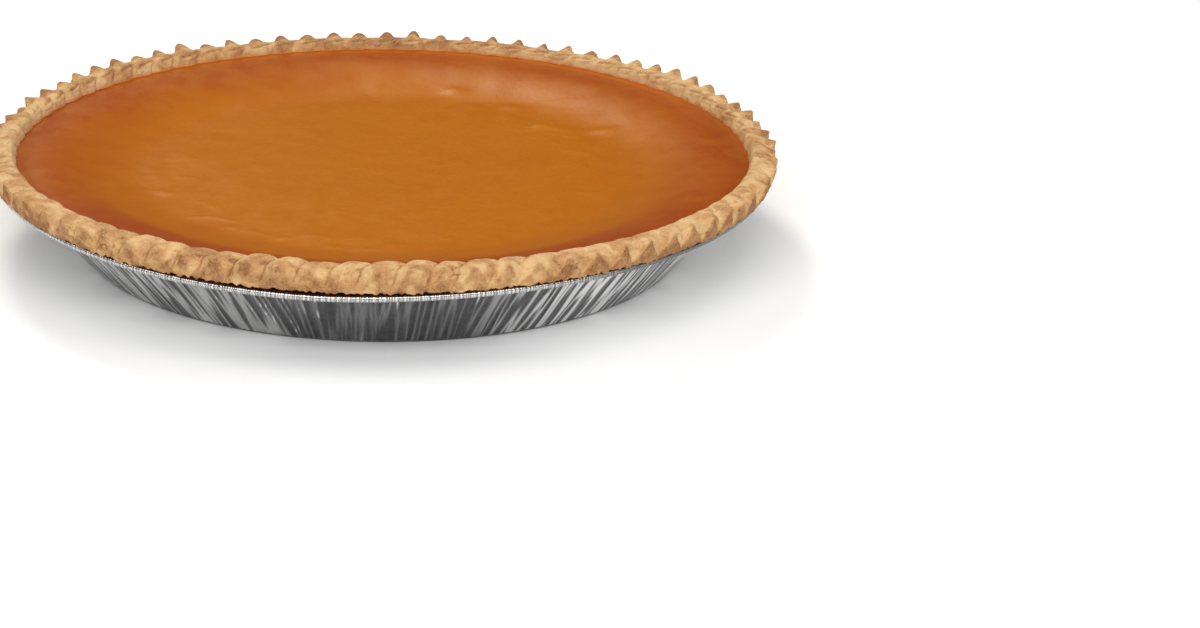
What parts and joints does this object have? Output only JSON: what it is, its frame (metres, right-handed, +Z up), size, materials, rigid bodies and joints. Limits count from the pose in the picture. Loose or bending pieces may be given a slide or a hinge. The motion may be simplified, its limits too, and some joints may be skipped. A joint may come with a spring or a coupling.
{
  "type": "pumpkin pie in a foil tin",
  "caption": "Whole baked pumpkin pie with a crimped pastry rim and a smooth sunken custard filling, in a round pleated foil tin.",
  "frame": {"origin": "on the surface that the pie stands on, under the centre of the tin", "axes": "+Z up through the pie's centre, -Y towards the front of the picture, +X to its right"},
  "size_m": [0.3096, 0.3095, 0.0414],
  "materials": {
    "foil": "thin pressed foil with fine pleats, bright but wrinkled",
    "pastry": "baked golden shortcrust, dry and crumbly, browner on the crimp faces",
    "custard": "baked pumpkin custard, orange brown with a soft moist sheen, redder towards the crust"
  },
  "bodies": {
    "root": {"tin": "foil", "crust": "pastry", "filling": "custard"}
  },
  "joints": []
}
